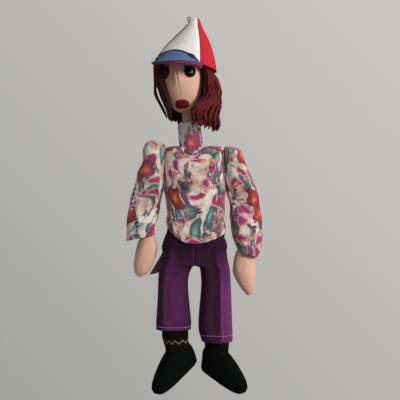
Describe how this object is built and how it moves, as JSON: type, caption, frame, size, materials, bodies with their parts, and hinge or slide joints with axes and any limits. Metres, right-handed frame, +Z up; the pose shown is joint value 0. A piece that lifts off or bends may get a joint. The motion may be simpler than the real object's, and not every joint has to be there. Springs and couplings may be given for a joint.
{
  "type": "marionette",
  "caption": "Stuffed cloth marionette hung by a wire eye at the tip of its peaked cap, with yarn hair, puffed sleeves, mitten hands, trousers, socks and pointed felt boots.",
  "frame": {"origin": "centre of the wire eye at the cap's tip, where the marionette hangs", "axes": "+Z up, the doll faces -Y, its own right side is at -X"},
  "size_m": [0.1976, 0.1185, 0.5405],
  "materials": {
    "skin_jersey": "matte",
    "eye_gloss": "gloss",
    "mouth_felt": "matte",
    "hair_yarn": "matte",
    "cap_white": "matte",
    "cap_red": "matte",
    "peak_blue": "matte",
    "peak_magenta": "matte",
    "cap_cord": "matte",
    "wire": "satin",
    "stuffing": "matte",
    "print_cloth": "matte",
    "tail_cloth": "matte",
    "trouser_cloth": "matte",
    "thread": "matte",
    "sock_knit": "matte",
    "boot_felt": "matte"
  },
  "bodies": {
    "head": {"head": "skin_jersey", "hanging_eye": "wire", "cap_front": "cap_white", "cap_side": "cap_red", "cap_back": "cap_white", "cap_stuffing": "stuffing", "cap_piping": "cap_cord", "peak": "peak_blue", "peak_lining": "peak_magenta", "eye_right": "eye_gloss", "eye_left": "eye_gloss", "mouth": "mouth_felt", "hair_right": "hair_yarn", "hair_left": "hair_yarn", "hair_back": "hair_yarn"},
    "neck": {"neck": "skin_jersey", "neck_cover": "print_cloth"},
    "torso": {"torso": "stuffing", "blouse": "print_cloth", "blouse_tail": "tail_cloth", "trousers_seat": "trouser_cloth", "hip_cord_right": "thread", "hip_cord_left": "thread"},
    "shoulder_right": {"shoulder_tape_right": "thread"},
    "upper_arm_right": {"sleeve_upper_right": "print_cloth", "elbow_cord_right": "thread"},
    "forearm_right": {"sleeve_lower_right": "print_cloth"},
    "hand_right": {"hand_right": "skin_jersey"},
    "thigh_right": {"trouser_upper_right": "trouser_cloth", "knee_cord_right": "thread"},
    "shin_right": {"trouser_lower_right": "trouser_cloth", "sock_right": "sock_knit"},
    "foot_right": {"boot_right": "boot_felt"},
    "shoulder_left": {"shoulder_tape_left": "thread"},
    "upper_arm_left": {"sleeve_upper_left": "print_cloth", "elbow_cord_left": "thread"},
    "forearm_left": {"sleeve_lower_left": "print_cloth"},
    "hand_left": {"hand_left": "skin_jersey"},
    "thigh_left": {"trouser_upper_left": "trouser_cloth", "knee_cord_left": "thread"},
    "shin_left": {"trouser_lower_left": "trouser_cloth", "sock_left": "sock_knit"},
    "foot_left": {"boot_left": "boot_felt"}
  },
  "joints": [
    {"name": "neck_nod", "type": "hinge", "parent": "head", "child": "neck", "pos_m": [-0.003, 0.009, -0.118], "axis": [1, 0, 0], "range_deg": [-15, 15]},
    {"name": "neck_turn", "type": "hinge", "parent": "neck", "child": "torso", "pos_m": [0.0045, 0, -0.2], "axis": [-0.0905, 0.1087, 0.9899], "range_deg": [-70, 70]},
    {"name": "shoulder_spread_right", "type": "hinge", "parent": "torso", "child": "shoulder_right", "pos_m": [-0.0377, 0, -0.1865], "axis": [0, -1, 0], "range_deg": [-90, 0]},
    {"name": "shoulder_swing_right", "type": "hinge", "parent": "shoulder_right", "child": "upper_arm_right", "pos_m": [-0.0377, 0, -0.1865], "axis": [-1, 0, 0], "range_deg": [-60, 120]},
    {"name": "elbow_right", "type": "hinge", "parent": "upper_arm_right", "child": "forearm_right", "pos_m": [-0.0377, 0, -0.269], "axis": [-1, 0, 0], "range_deg": [-30, 90]},
    {"name": "wrist_right", "type": "hinge", "parent": "forearm_right", "child": "hand_right", "pos_m": [-0.0632, 0, -0.316], "axis": [-1, 0, 0], "range_deg": [-35, 35]},
    {"name": "hip_right", "type": "hinge", "parent": "torso", "child": "thigh_right", "pos_m": [-0.0134, -0.022, -0.327], "axis": [-1, 0, 0], "range_deg": [-12, 85]},
    {"name": "knee_right", "type": "hinge", "parent": "thigh_right", "child": "shin_right", "pos_m": [-0.0214, 0.02, -0.4], "axis": [1, 0, 0], "range_deg": [0, 105]},
    {"name": "ankle_right", "type": "hinge", "parent": "shin_right", "child": "foot_right", "pos_m": [-0.017, 0, -0.476], "axis": [-0.5, 0.866, 0], "range_deg": [-3, 35]},
    {"name": "shoulder_spread_left", "type": "hinge", "parent": "torso", "child": "shoulder_left", "pos_m": [0.0543, 0, -0.1865], "axis": [0, 1, 0], "range_deg": [-90, 0]},
    {"name": "shoulder_swing_left", "type": "hinge", "parent": "shoulder_left", "child": "upper_arm_left", "pos_m": [0.0543, 0, -0.1865], "axis": [-1, 0, 0], "range_deg": [-60, 120]},
    {"name": "elbow_left", "type": "hinge", "parent": "upper_arm_left", "child": "forearm_left", "pos_m": [0.0543, 0, -0.269], "axis": [-1, 0, 0], "range_deg": [-30, 90]},
    {"name": "wrist_left", "type": "hinge", "parent": "forearm_left", "child": "hand_left", "pos_m": [0.0823, 0, -0.338], "axis": [-1, 0, 0], "range_deg": [-35, 35]},
    {"name": "hip_left", "type": "hinge", "parent": "torso", "child": "thigh_left", "pos_m": [0.0306, -0.022, -0.327], "axis": [-1, 0, 0], "range_deg": [-12, 85]},
    {"name": "knee_left", "type": "hinge", "parent": "thigh_left", "child": "shin_left", "pos_m": [0.0386, 0.02, -0.4], "axis": [1, 0, 0], "range_deg": [0, 105]},
    {"name": "ankle_left", "type": "hinge", "parent": "shin_left", "child": "foot_left", "pos_m": [0.04, 0, -0.48], "axis": [-0.5, -0.866, 0], "range_deg": [-5, 25]}
  ]
}
